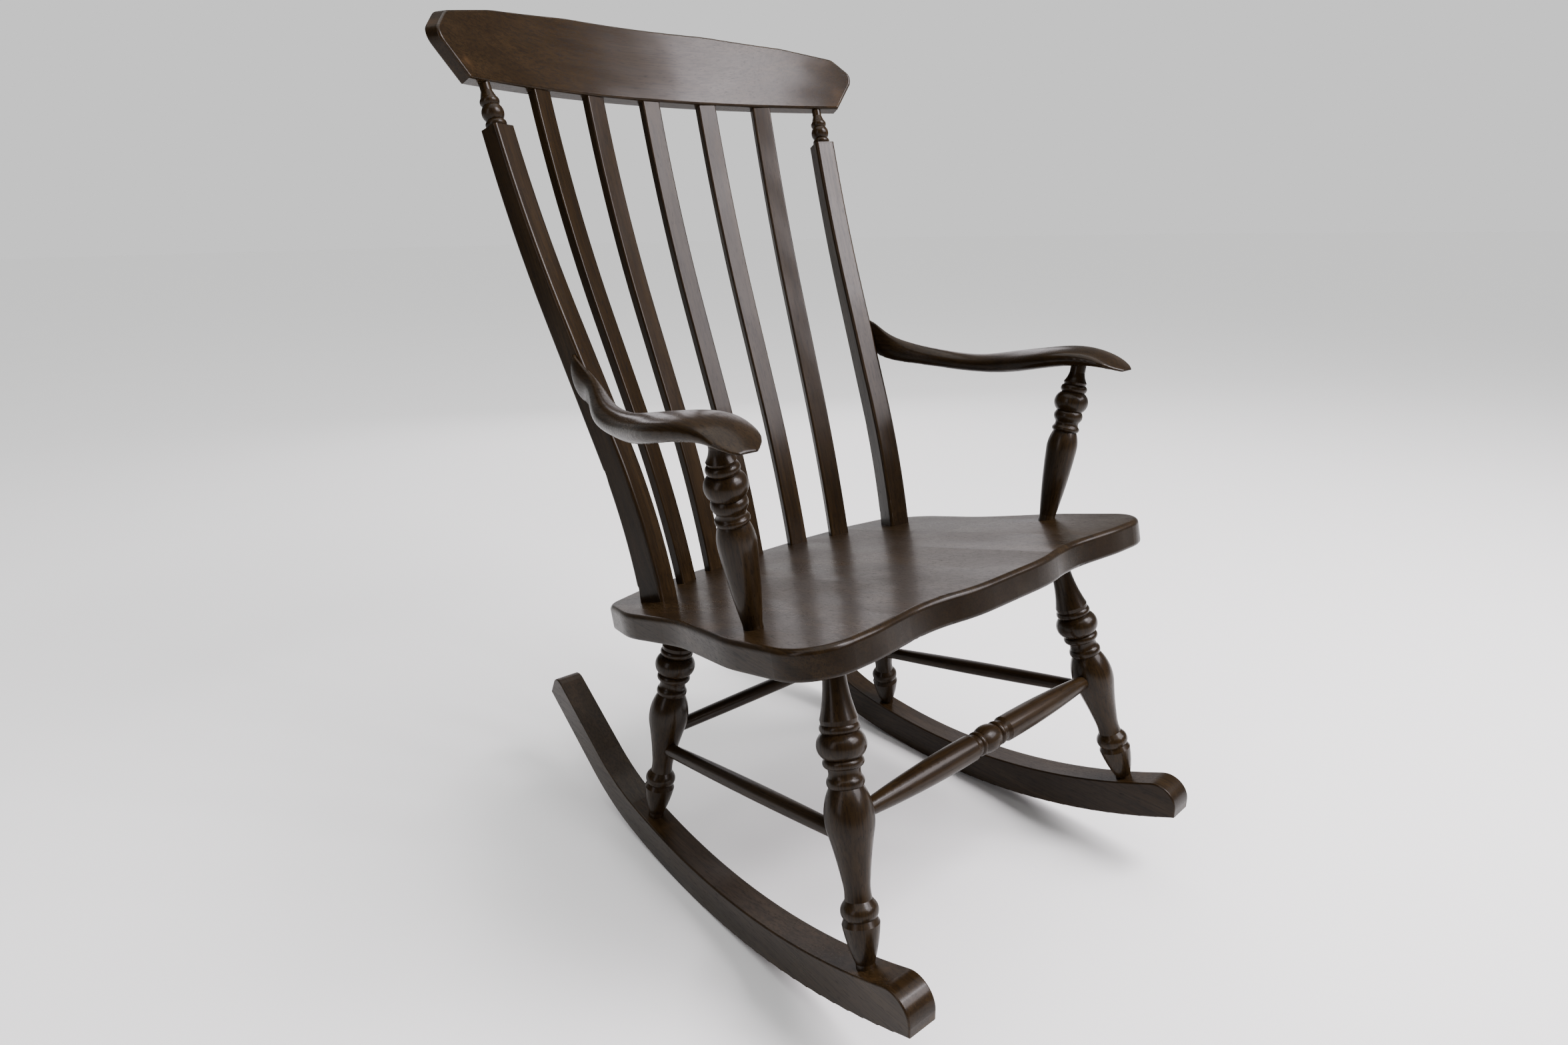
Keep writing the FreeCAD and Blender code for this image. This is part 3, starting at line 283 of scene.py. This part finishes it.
class ChairStage(bpy.types.PropertyGroup):
    """Floor, light and camera"""

    floor_radius: FloatProperty(
        name="Floor radius",
        description="Radius of the round floor",
        unit="LENGTH",
        min=2.0,
        max=100.0,
        default=40.0,
    )
    floor_corners: IntProperty(
        name="Floor corners",
        description="Number of corners of the round floor",
        min=16,
        max=256,
        default=96,
    )
    floor_colour: FloatVectorProperty(
        name="Floor colour",
        description="Pale colour of the floor",
        subtype="COLOR",
        size=3,
        min=0.0,
        max=1.0,
        default=(0.86, 0.86, 0.855),
    )
    sky_strength: FloatProperty(
        name="Sky strength",
        description="Brightness of the surroundings that light the wood",
        min=0.0,
        max=5.0,
        default=0.26,
    )
    backdrop_strength: FloatProperty(
        name="Backdrop strength",
        description="Brightness of the backdrop, matched to the far floor",
        min=0.0,
        max=5.0,
        default=0.93,
    )
    window_power: FloatProperty(
        name="Window power",
        description="Power of the large light in front of the sitter's left",
        unit="POWER",
        min=0.0,
        max=1000.0,
        default=165.0,
    )
    side_power: FloatProperty(
        name="Side power",
        description="Power of the narrow light on the sitter's right",
        unit="POWER",
        min=0.0,
        max=1000.0,
        default=14.0,
    )
    skylight_power: FloatProperty(
        name="Skylight power",
        description="Power of the small high light that shines in the crest rail",
        unit="POWER",
        min=0.0,
        max=1000.0,
        default=95.0,
    )
    wall_power: FloatProperty(
        name="Wall power",
        description="Power of the wide light behind the chair that shines in the seat",
        unit="POWER",
        min=0.0,
        max=1000.0,
        default=21.0,
    )
    ceiling_strength: FloatProperty(
        name="Ceiling strength",
        description="Brightness of the wide soft light from straight above",
        min=0.0,
        max=20.0,
        default=2.9,
    )
    ceiling_spread: FloatProperty(
        name="Ceiling spread",
        description="How wide the light from above is seen from the chair",
        subtype="ANGLE",
        min=0.0,
        max=math.pi,
        default=math.radians(75.0),
    )
    focal_length: FloatProperty(
        name="Focal length",
        description="Focal length of the lens in millimetres on a sensor 36 mm wide",
        min=5.0,
        max=200.0,
        default=20.667,
    )


def add_node(tree, kind, sockets=None, **values):
    """Adds a shader node. What goes in a socket is linked if it is another node's output."""
    made = tree.nodes.new(kind)
    for key, value in values.items():
        setattr(made, key, value)
    for key, value in (sockets or {}).items():
        if isinstance(value, bpy.types.NodeSocket):
            tree.links.new(value, made.inputs[key])
        else:
            made.inputs[key].default_value = value
    return made


def stretched_noise(tree, place, per_metre, detail, roughness=0.55, distortion=0.0):
    """Noise with so many spots in a metre along each axis."""
    stretch = add_node(tree, "ShaderNodeMapping", {"Vector": place, "Scale": per_metre})
    noise = add_node(
        tree,
        "ShaderNodeTexNoise",
        {
            "Vector": stretch.outputs["Vector"],
            "Scale": 1.0,
            "Detail": detail,
            "Roughness": roughness,
            "Distortion": distortion,
        },
    )
    return noise.outputs["Fac"]


def ranged(tree, value, low, high, to_low, to_high):
    """Maps value smoothly from between low and high to between to_low and to_high."""
    made = add_node(
        tree,
        "ShaderNodeMapRange",
        {"Value": value, "From Min": low, "From Max": high, "To Min": to_low, "To Max": to_high},
        interpolation_type="SMOOTHSTEP",
    )
    return made.outputs["Result"]


def worked_out(tree, operation, *values):
    """Does a sum with one or two values, each a plain number or another node's output."""
    made = add_node(tree, "ShaderNodeMath", dict(enumerate(values)), operation=operation)
    return made.outputs["Value"]


def blended(tree, under, over, share):
    """Lays the colour over on the colour under, by share."""
    sockets = {MIX_UNDER: under, MIX_OVER: over, MIX_SHARE: share}
    return add_node(tree, "ShaderNodeMix", sockets, data_type="RGBA").outputs[MIX_COLOUR]


def opaque(colour):
    return (*colour, 1.0)


def new_material(name):
    """A material whose node tree is still empty."""
    material = bpy.data.materials.new(name)
    material.use_nodes = True
    material.node_tree.nodes.clear()
    return material


def add_surface(tree, sockets):
    """Gives a material its surface, with these colours and values in the shader's sockets."""
    shader = add_node(tree, "ShaderNodeBsdfPrincipled", sockets)
    add_node(tree, "ShaderNodeOutputMaterial", {"Surface": shader.outputs["BSDF"]})


def glued_staves(tree, place, along, width):
    """Shifts the grain of each stave that is glued into the seat, and gives it its own tone."""
    split = add_node(tree, "ShaderNodeSeparateXYZ", {"Vector": place})
    stave = worked_out(tree, "FLOOR", worked_out(tree, "DIVIDE", split.outputs["X"], width))
    drawn = add_node(tree, "ShaderNodeTexWhiteNoise", {"W": stave}, noise_dimensions="1D")
    tone = drawn.outputs["Value"]
    distance = worked_out(tree, "MULTIPLY", tone, STAVE_SHIFT)
    shift = add_node(tree, "ShaderNodeCombineXYZ", {"X": distance}).outputs["Vector"]
    shifted = add_node(tree, "ShaderNodeVectorMath", {0: along, 1: shift}, operation="ADD")
    return shifted.outputs["Vector"], tone


def wood_relief(tree, along, fibres, pores):
    """The normals of the broad ripple, and of the fibres and pores on top of it."""
    ripple = stretched_noise(tree, along, RIPPLES_PER_METRE, detail=1.0)
    waves = {"Height": ripple, "Strength": 0.12, "Distance": 0.012}
    broad = add_node(tree, "ShaderNodeBump", waves).outputs["Normal"]
    raised = ranged(tree, fibres, *RAISED_FIBRES)
    height = worked_out(tree, "SUBTRACT", raised, ranged(tree, pores, *SUNK_PORES))
    grain = {"Height": height, "Strength": 0.035, "Distance": 0.0005, "Normal": broad}
    fine = add_node(tree, "ShaderNodeBump", grain).outputs["Normal"]
    return broad, fine


def stained_wood(name, axis, start, shade=1.0, roughness=0.34, staves=False):
    """Dark stained wood under satin lacquer, with its grain along axis."""
    wood = bpy.context.scene.chair_wood
    material = new_material(name)
    tree = material.node_tree

    place = add_node(tree, "ShaderNodeTexCoord").outputs["Object"]
    turn = axis.rotation_difference(SIDEWAYS).to_euler()
    turned = {"Vector": place, "Rotation": turn, "Location": start}
    along = add_node(tree, "ShaderNodeMapping", turned).outputs["Vector"]
    if staves:
        along, stave_tone = glued_staves(tree, place, along, wood.stave_width)

    band = 1.0 / wood.band_width
    fibre = 1.0 / wood.fibre_width
    pore = 1.0 / wood.pore_width
    bands = stretched_noise(
        tree, along, (BANDS_PER_METRE, band, band), detail=4.0, roughness=0.6, distortion=0.5
    )
    fibres = stretched_noise(
        tree, along, (FIBRES_PER_METRE, fibre, fibre), detail=3.0, roughness=0.65
    )
    pores = stretched_noise(tree, along, (PORES_PER_METRE, pore, pore), detail=1.0, roughness=0.5)
    clouds = stretched_noise(tree, along, CLOUDS_PER_METRE, detail=2.0)
    wear = stretched_noise(tree, along, WEAR_PER_METRE, detail=3.0)

    geometry = add_node(tree, "ShaderNodeNewGeometry")
    directions = {0: geometry.outputs["Normal"], 1: axis}
    facing = add_node(tree, "ShaderNodeVectorMath", directions, operation="DOT_PRODUCT")
    end_grain = worked_out(tree, "ABSOLUTE", facing.outputs["Value"])
    bent = geometry.outputs["Pointiness"]
    edges = ranged(tree, bent, *RUBBED_EDGES)
    rubbed = worked_out(tree, "MULTIPLY", edges, ranged(tree, wear, *RUBBED_PATCHES))

    layers = [
        (wood.thin_stain, ranged(tree, bands, *THIN_BANDS)),
        (wood.body_stain, ranged(tree, clouds, *BODY_CLOUDS)),
        (wood.deep_stain, ranged(tree, fibres, *DEEP_FIBRES)),
        (wood.deep_stain, ranged(tree, pores, *DEEP_PORES)),
    ]
    if staves:
        layers.append((wood.thin_stain, ranged(tree, stave_tone, *THIN_STAVES)))
    layers += [
        (wood.deep_stain, ranged(tree, end_grain, *DEEP_END_GRAIN)),
        (wood.deep_stain, ranged(tree, bent, *DEEP_GROOVES)),
        (wood.rubbed_edge, rubbed),
    ]
    colour = opaque(wood.body_stain)
    for stain, share in layers:
        colour = blended(tree, colour, opaque(stain), share)
    shaded = add_node(tree, "ShaderNodeHueSaturation", {"Color": colour, "Value": shade})

    rough = worked_out(tree, "ADD", ranged(tree, clouds, *ROUGH_CLOUDS), roughness)
    rough = worked_out(tree, "ADD", rough, ranged(tree, pores, *ROUGH_PORES))
    rough = worked_out(tree, "ADD", rough, ranged(tree, fibres, *ROUGH_FIBRES))

    broad, fine = wood_relief(tree, along, fibres, pores)
    add_surface(
        tree,
        {
            "Base Color": shaded.outputs["Color"],
            "Roughness": rough,
            "IOR": 1.5,
            "Specular IOR Level": 0.075,
            "Normal": fine,
            "Coat Weight": wood.lacquer,
            "Coat Roughness": wood.lacquer_roughness,
            "Coat IOR": 1.45,
            "Coat Normal": broad,
        },
    )
    return material


def long_axis(name):
    """The direction of a long piece, from the middle of its low end to that of its high end."""
    corners = [vertex.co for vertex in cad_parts[name].data.vertices]
    low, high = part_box(name)
    spans = [high[i] - low[i] for i in range(3)]
    widest = spans.index(max(spans))
    reach = END_SHARE * spans[widest]
    near = [corner for corner in corners if corner[widest] < low[widest] + reach]
    far = [corner for corner in corners if corner[widest] > high[widest] - reach]
    middle_near = sum(near, Vector()) / len(near)
    middle_far = sum(far, Vector()) / len(far)
    return (middle_far - middle_near).normalized()


def own_wood(name, axis, shade=1.0, **looks):
    """Stained wood for one piece, cut from its own place in the board and of its own tone."""
    place = list(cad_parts).index(name)
    start = [step * place for step in BOARD_STEP]
    tone = PIECE_TONES[place % len(PIECE_TONES)]
    return stained_wood(f"{name}_wood", axis, start, shade=shade * tone, **looks)


def finish_node(name, axis, **looks):
    """Gives a CAD node its own stained wood."""
    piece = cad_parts[name]
    if not piece.data.materials:
        raise RuntimeError(f"{name} has no material slot to finish")
    material = own_wood(name, axis, **looks)
    for slot in piece.material_slots:
        slot.material = material


def placed(name, data):
    """A new object of the scene, made of data."""
    made = bpy.data.objects.new(name, data)
    bpy.context.scene.collection.objects.link(made)
    return made


class CHAIR_OT_seat(bpy.types.Operator):
    """Finish the shaped plank seat, glued up from boards that run front to back"""

    bl_idname = "chair.seat"
    bl_label = "Seat"

    def execute(self, context):
        finish_node("seat", FRONT_TO_BACK, roughness=0.33, staves=True)
        return {"FINISHED"}


class CHAIR_OT_rockers(bpy.types.Operator):
    """Finish the two sawn rockers"""

    bl_idname = "chair.rockers"
    bl_label = "Rockers"

    def execute(self, context):
        for name in ROCKERS:
            finish_node(name, FRONT_TO_BACK, shade=1.1)
        return {"FINISHED"}


class CHAIR_OT_legs(bpy.types.Operator):
    """Finish the four turned legs"""

    bl_idname = "chair.legs"
    bl_label = "Legs"

    def execute(self, context):
        for name in LEGS:
            finish_node(name, long_axis(name), roughness=0.32)
        return {"FINISHED"}


class CHAIR_OT_stretchers(bpy.types.Operator):
    """Finish the turned stretchers between the legs"""

    bl_idname = "chair.stretchers"
    bl_label = "Stretchers"

    def execute(self, context):
        for name in STRETCHERS:
            finish_node(name, long_axis(name), roughness=0.34)
        return {"FINISHED"}


class CHAIR_OT_arm_posts(bpy.types.Operator):
    """Finish the turned posts under the arms"""

    bl_idname = "chair.arm_posts"
    bl_label = "Arm posts"

    def execute(self, context):
        for name in ARM_POSTS:
            finish_node(name, long_axis(name), roughness=0.32)
        return {"FINISHED"}


class CHAIR_OT_slats(bpy.types.Operator):
    """Finish the five bent slats of the back"""

    bl_idname = "chair.slats"
    bl_label = "Slats"

    def execute(self, context):
        for name in SLATS:
            finish_node(name, long_axis(name), roughness=0.30)
        return {"FINISHED"}


class CHAIR_OT_back_posts(bpy.types.Operator):
    """Finish the two squared back posts with their turned heads"""

    bl_idname = "chair.back_posts"
    bl_label = "Back posts"

    def execute(self, context):
        for name in BACK_POSTS:
            finish_node(name, long_axis(name), roughness=0.32)
        return {"FINISHED"}


class CHAIR_OT_crest(bpy.types.Operator):
    """Finish the curved crest rail"""

    bl_idname = "chair.crest"
    bl_label = "Crest rail"

    def execute(self, context):
        finish_node("crest_rail", SIDEWAYS, roughness=0.26)
        return {"FINISHED"}


def even_mesh(name, face_size):
    """A copy of a CAD node's surface in small even faces."""
    rough = bpy.data.meshes.new(f"{name}_rough")
    shape = bmesh.new()
    shape.from_mesh(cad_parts[name].data)
    bmesh.ops.remove_doubles(shape, verts=shape.verts, dist=MERGE_DISTANCE)
    shape.to_mesh(rough)
    shape.free()
    carrier = placed(f"{name}_rough", rough)
    remesh = carrier.modifiers.new("even_faces", "REMESH")
    remesh.mode = "VOXEL"
    remesh.voxel_size = face_size
    evaluated = carrier.evaluated_get(bpy.context.evaluated_depsgraph_get())
    even = bpy.data.meshes.new_from_object(evaluated)
    bpy.data.objects.remove(carrier)
    bpy.data.meshes.remove(rough)
    return even


def carved_arm(name, arms):
    """An arm with its nose rounded in plan and its edges softened, in place of the CAD node."""
    low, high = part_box(name)
    mesh = even_mesh(name, arms.face_size)
    shape = bmesh.new()
    shape.from_mesh(mesh)
    nose_length, narrowing, softened_to = arms.nose_length, arms.nose_narrowing, arms.softened_to
    nose_start = low[1] + nose_length
    nose_middle = math.copysign(arms.nose_middle, high[0])
    for vertex in shape.verts:
        into_nose = (nose_start - vertex.co.y) / nose_length
        if into_nose > 0.0:
            narrow = math.sqrt(1.0 - narrowing * min(into_nose, 1.0) ** NOSE_CURVE)
            vertex.co.x = nose_middle + (vertex.co.x - nose_middle) * narrow
    soft = [vertex for vertex in shape.verts if vertex.co.y < softened_to]
    for _ in range(arms.softening_rounds):
        bmesh.ops.smooth_vert(
            shape, verts=soft, factor=0.5, use_axis_x=True, use_axis_y=True, use_axis_z=True
        )
    bmesh.ops.recalc_face_normals(shape, faces=shape.faces)
    for face in shape.faces:
        face.smooth = True
    shape.to_mesh(mesh)
    shape.free()
    mesh.materials.clear()
    mesh.materials.append(own_wood(name, FRONT_TO_BACK, roughness=0.28))
    arm = placed(f"{name}_carved", mesh)
    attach(arm, "root")
    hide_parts(name)


class CHAIR_OT_arms(bpy.types.Operator):
    """Carve and finish the two arms"""

    bl_idname = "chair.arms"
    bl_label = "Arms"

    def execute(self, context):
        for name in ARMS:
            carved_arm(name, context.scene.chair_arms)
        return {"FINISHED"}


def pale_floor(stage):
    """A round pale floor at the height that the rockers stand on."""
    mesh = bpy.data.meshes.new("floor")
    shape = bmesh.new()
    bmesh.ops.create_circle(
        shape, cap_ends=True, segments=stage.floor_corners, radius=stage.floor_radius
    )
    shape.to_mesh(mesh)
    shape.free()
    material = new_material("floor_paint")
    tree = material.node_tree
    place = add_node(tree, "ShaderNodeTexCoord").outputs["Object"]
    mottles = stretched_noise(tree, place, MOTTLES_PER_METRE, detail=3.0)
    greyer = tuple(MOTTLE_TONE * part for part in stage.floor_colour)
    colour = blended(
        tree, opaque(stage.floor_colour), opaque(greyer), ranged(tree, mottles, *FLOOR_MOTTLES)
    )
    add_surface(tree, {"Base Color": colour, "Roughness": 0.75})
    mesh.materials.append(material)
    floor = placed("floor", mesh)


def soft_light(name, place, target, width, height, power):
    """A large soft light at place, turned to target."""
    data = bpy.data.lights.new(name, "AREA")
    data.shape = "RECTANGLE"
    data.size, data.size_y, data.energy = width, height, power
    data.color = LIGHT_COLOUR
    light = placed(name, data)
    light.visible_camera = False
    light.location = place
    light.rotation_mode = "QUATERNION"
    light.rotation_quaternion = (Vector(target) - Vector(place)).to_track_quat("-Z", "Y")


def ceiling_light(stage):
    """Wide soft light from straight above, even over the whole floor."""
    data = bpy.data.lights.new("ceiling_light", "SUN")
    data.energy, data.angle = stage.ceiling_strength, stage.ceiling_spread
    placed("ceiling_light", data)


def pale_surroundings(stage):
    """A pale backdrop, and a sky that lights the wood less from the sitter's right."""
    world = bpy.data.worlds.new("surroundings")
    bpy.context.scene.world = world
    world.use_nodes = True
    tree = world.node_tree
    tree.nodes.clear()
    direction = add_node(tree, "ShaderNodeTexCoord").outputs["Generated"]
    split = add_node(tree, "ShaderNodeSeparateXYZ", {"Vector": direction})
    share = ranged(tree, split.outputs["X"], *LIGHT_SIDE_OF_SKY)
    colour = blended(tree, opaque(DARK_SKY), opaque(WHITE), share)
    sky = add_node(
        tree, "ShaderNodeBackground", {"Color": colour, "Strength": stage.sky_strength}
    )
    backdrop = add_node(
        tree,
        "ShaderNodeBackground",
        {"Color": opaque(WHITE), "Strength": stage.backdrop_strength},
    )
    seen = add_node(
        tree,
        "ShaderNodeMixShader",
        {
            "Fac": add_node(tree, "ShaderNodeLightPath").outputs["Is Camera Ray"],
            1: sky.outputs["Background"],
            2: backdrop.outputs["Background"],
        },
    )
    add_node(tree, "ShaderNodeOutputWorld", {"Surface": seen.outputs["Shader"]})


def photo_camera(stage):
    """A camera where the photographer stood, level but for a small tilt of the frame."""
    round_chair = math.radians(CAMERA_ROUND)
    above = math.radians(CAMERA_ABOVE)
    tilt = math.radians(CAMERA_TILT)
    back = Vector(
        (
            math.sin(round_chair) * math.cos(above),
            -math.cos(round_chair) * math.cos(above),
            math.sin(above),
        )
    )
    level = (-back).cross(UPWARDS).normalized()
    upright = level.cross(-back)
    right = math.cos(tilt) * level + math.sin(tilt) * upright
    up = math.cos(tilt) * upright - math.sin(tilt) * level
    data = bpy.data.cameras.new("photo_camera")
    data.sensor_fit = "HORIZONTAL"
    data.sensor_width = SENSOR_WIDTH
    data.lens = stage.focal_length
    data.shift_x = SHIFT_RIGHT / IMAGE_WIDTH
    data.shift_y = SHIFT_UP / IMAGE_WIDTH
    data.clip_end = FLOOR_RADII_SEEN * stage.floor_radius
    camera = placed("photo_camera", data)
    turn = Matrix((right, up, back)).transposed()
    camera.matrix_world = Matrix.Translation(CAMERA_PLACE) @ turn.to_4x4()
    bpy.context.scene.camera = camera


class CHAIR_OT_stage(bpy.types.Operator):
    """Lay the pale floor, hang the soft lights and place the camera"""

    bl_idname = "chair.stage"
    bl_label = "Floor, light and camera"

    def execute(self, context):
        stage = context.scene.chair_stage
        pale_floor(stage)
        pale_surroundings(stage)
        ceiling_light(stage)
        for name, place, target, width, height, power in SOFT_LIGHTS:
            soft_light(name, place, target, width, height, getattr(stage, power))
        photo_camera(stage)
        return {"FINISHED"}


class CHAIR_PT_sidebar(bpy.types.Panel):
    """Pieces of the rocking chair"""

    bl_idname = "CHAIR_PT_sidebar"
    bl_label = "Rocking chair"
    bl_space_type = "VIEW_3D"
    bl_region_type = "UI"
    bl_category = "Rocking chair"

    def draw(self, context):
        column = self.layout.column()
        for step in STEPS:
            column.operator(step.bl_idname)
        scene = context.scene
        for group in (scene.chair_wood, scene.chair_arms, scene.chair_stage):
            box = self.layout.box()
            for name in type(group).__annotations__:
                box.prop(group, name)


STEPS = (
    CHAIR_OT_seat,
    CHAIR_OT_rockers,
    CHAIR_OT_legs,
    CHAIR_OT_stretchers,
    CHAIR_OT_arm_posts,
    CHAIR_OT_slats,
    CHAIR_OT_back_posts,
    CHAIR_OT_crest,
    CHAIR_OT_arms,
    CHAIR_OT_stage,
)
CLASSES = (ChairWood, ChairArms, ChairStage, *STEPS, CHAIR_PT_sidebar)


def register():
    for made in CLASSES:
        bpy.utils.register_class(made)
    bpy.types.Scene.chair_wood = PointerProperty(type=ChairWood)
    bpy.types.Scene.chair_arms = PointerProperty(type=ChairArms)
    bpy.types.Scene.chair_stage = PointerProperty(type=ChairStage)


def unregister():
    del bpy.types.Scene.chair_stage
    del bpy.types.Scene.chair_arms
    del bpy.types.Scene.chair_wood
    for made in reversed(CLASSES):
        bpy.utils.unregister_class(made)


def main():
    register()
    for step in STEPS:
        group, name = step.bl_idname.split(".")
        getattr(getattr(bpy.ops, group), name)()


if __name__ == "__main__":
    main()
